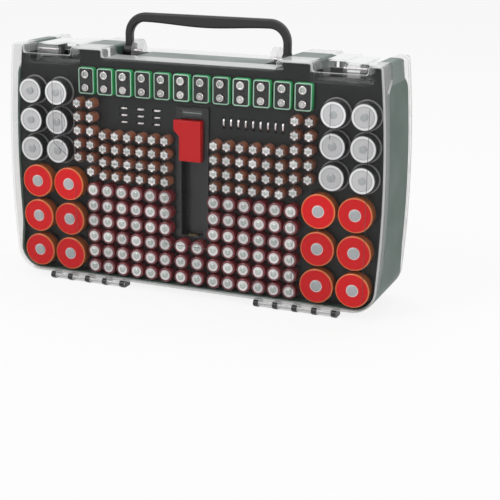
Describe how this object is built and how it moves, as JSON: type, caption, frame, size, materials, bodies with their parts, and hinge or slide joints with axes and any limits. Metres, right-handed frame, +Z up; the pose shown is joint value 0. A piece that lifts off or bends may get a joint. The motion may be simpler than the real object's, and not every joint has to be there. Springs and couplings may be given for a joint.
{
  "type": "battery storage case",
  "caption": "Two-sided case with clear swing-down covers, trays of wells for cells, a sliding cell tester and a folding carry handle.",
  "frame": {"origin": "centre of the footprint, on the surface that the hinge feet stand on", "axes": "+X to the right seen from the front, +Y towards the rear, +Z up; the front cover faces -Y"},
  "size_m": [0.3976, 0.096, 0.2742],
  "materials": {
    "frame_plastic": "smooth grey-green moulding",
    "tray_plastic": "fine satin grain",
    "clear_plastic": "clear polished moulding",
    "screw_steel": "zinc plated",
    "pin_steel": "ground",
    "aa_jacket": "printed film over steel can",
    "aaa_jacket": "printed film over steel can",
    "c_jacket": "pale film over steel can",
    "d_jacket": "printed film over steel can",
    "nine_volt_jacket": "printed film over steel case",
    "coin_steel": "bright steel",
    "yellow_jacket": "printed film",
    "silver_jacket": "printed film",
    "photo_jacket": "printed film",
    "red_jacket": "printed film",
    "green_jacket": "printed film",
    "purple_jacket": "printed film",
    "tester_plastic": "satin black",
    "slider_plastic": "smooth red",
    "display_lens": "dark lens",
    "contact_brass": "bright",
    "handle_plastic": "soft satin black"
  },
  "bodies": {
    "case": {"centre_frame": "frame_plastic", "top_rail": "frame_plastic", "hinge_feet": "frame_plastic", "latch_keepers": "frame_plastic", "front_tray": "tray_plastic", "front_tray_floor": "tray_plastic", "front_fascia": "tray_plastic", "rear_tray": "tray_plastic", "rear_tray_floor": "tray_plastic", "rear_fascia": "tray_plastic", "tray_screws": "screw_steel", "aa_cells": "aa_jacket", "aaa_cells": "aaa_jacket", "c_cells": "c_jacket", "d_cells": "d_jacket", "nine_volt_cells": "nine_volt_jacket", "front_coin_cells": "coin_steel", "long_cells": "yellow_jacket", "short_photo_cells": "silver_jacket", "photo_cells": "photo_jacket", "red_cells": "red_jacket", "button_cells": "coin_steel", "micro_cells": "silver_jacket", "spare_aaa_cells": "green_jacket", "foot_aaa_cells": "green_jacket", "half_cells": "purple_jacket", "remote_cells": "green_jacket", "rear_coin_cells": "coin_steel", "tester_body": "tester_plastic", "tester_display": "display_lens", "tester_contacts": "contact_brass", "front_hinge_pins": "pin_steel", "rear_hinge_pins": "pin_steel", "handle_ears": "clear_plastic", "handle_pins": "pin_steel"},
    "front_cover": {"front_cover": "clear_plastic", "front_cover_knuckles": "clear_plastic", "front_latch_ears": "clear_plastic", "front_latch_pins": "pin_steel"},
    "rear_cover": {"rear_cover": "clear_plastic", "rear_cover_knuckles": "clear_plastic", "rear_latch_ears": "clear_plastic", "rear_latch_pins": "pin_steel"},
    "front_latch_left": {"front_latch_left": "clear_plastic"},
    "front_latch_right": {"front_latch_right": "clear_plastic"},
    "rear_latch_left": {"rear_latch_left": "clear_plastic"},
    "rear_latch_right": {"rear_latch_right": "clear_plastic"},
    "handle": {"handle": "handle_plastic"},
    "tester_slider": {"tester_slider": "slider_plastic"}
  },
  "joints": [
    {"name": "front_cover_hinge", "type": "hinge", "parent": "case", "child": "front_cover", "pos_m": [0, -0.0442, 0.004], "axis": [1, 0, 0], "range_deg": [0, 90]},
    {"name": "rear_cover_hinge", "type": "hinge", "parent": "case", "child": "rear_cover", "pos_m": [0, 0.0442, 0.004], "axis": [-1, 0, 0], "range_deg": [0, 90]},
    {"name": "front_latch_left_lift", "type": "hinge", "parent": "front_cover", "child": "front_latch_left", "pos_m": [-0.1615, -0.027, 0.236], "axis": [1, 0, 0], "range_deg": [0, 100]},
    {"name": "front_latch_right_lift", "type": "hinge", "parent": "front_cover", "child": "front_latch_right", "pos_m": [0.1615, -0.027, 0.236], "axis": [1, 0, 0], "range_deg": [0, 100]},
    {"name": "rear_latch_left_lift", "type": "hinge", "parent": "rear_cover", "child": "rear_latch_left", "pos_m": [-0.14, 0.027, 0.236], "axis": [-1, 0, 0], "range_deg": [0, 100]},
    {"name": "rear_latch_right_lift", "type": "hinge", "parent": "rear_cover", "child": "rear_latch_right", "pos_m": [0.14, 0.027, 0.236], "axis": [-1, 0, 0], "range_deg": [0, 100]},
    {"name": "handle_fold", "type": "hinge", "parent": "case", "child": "handle", "pos_m": [0, 0, 0.236], "axis": [1, 0, 0], "range_deg": [-78, 78]},
    {"name": "tester_slide", "type": "slide", "parent": "case", "child": "tester_slider", "axis": [0, 0, -1], "range_m": [0, 0.075]}
  ]
}
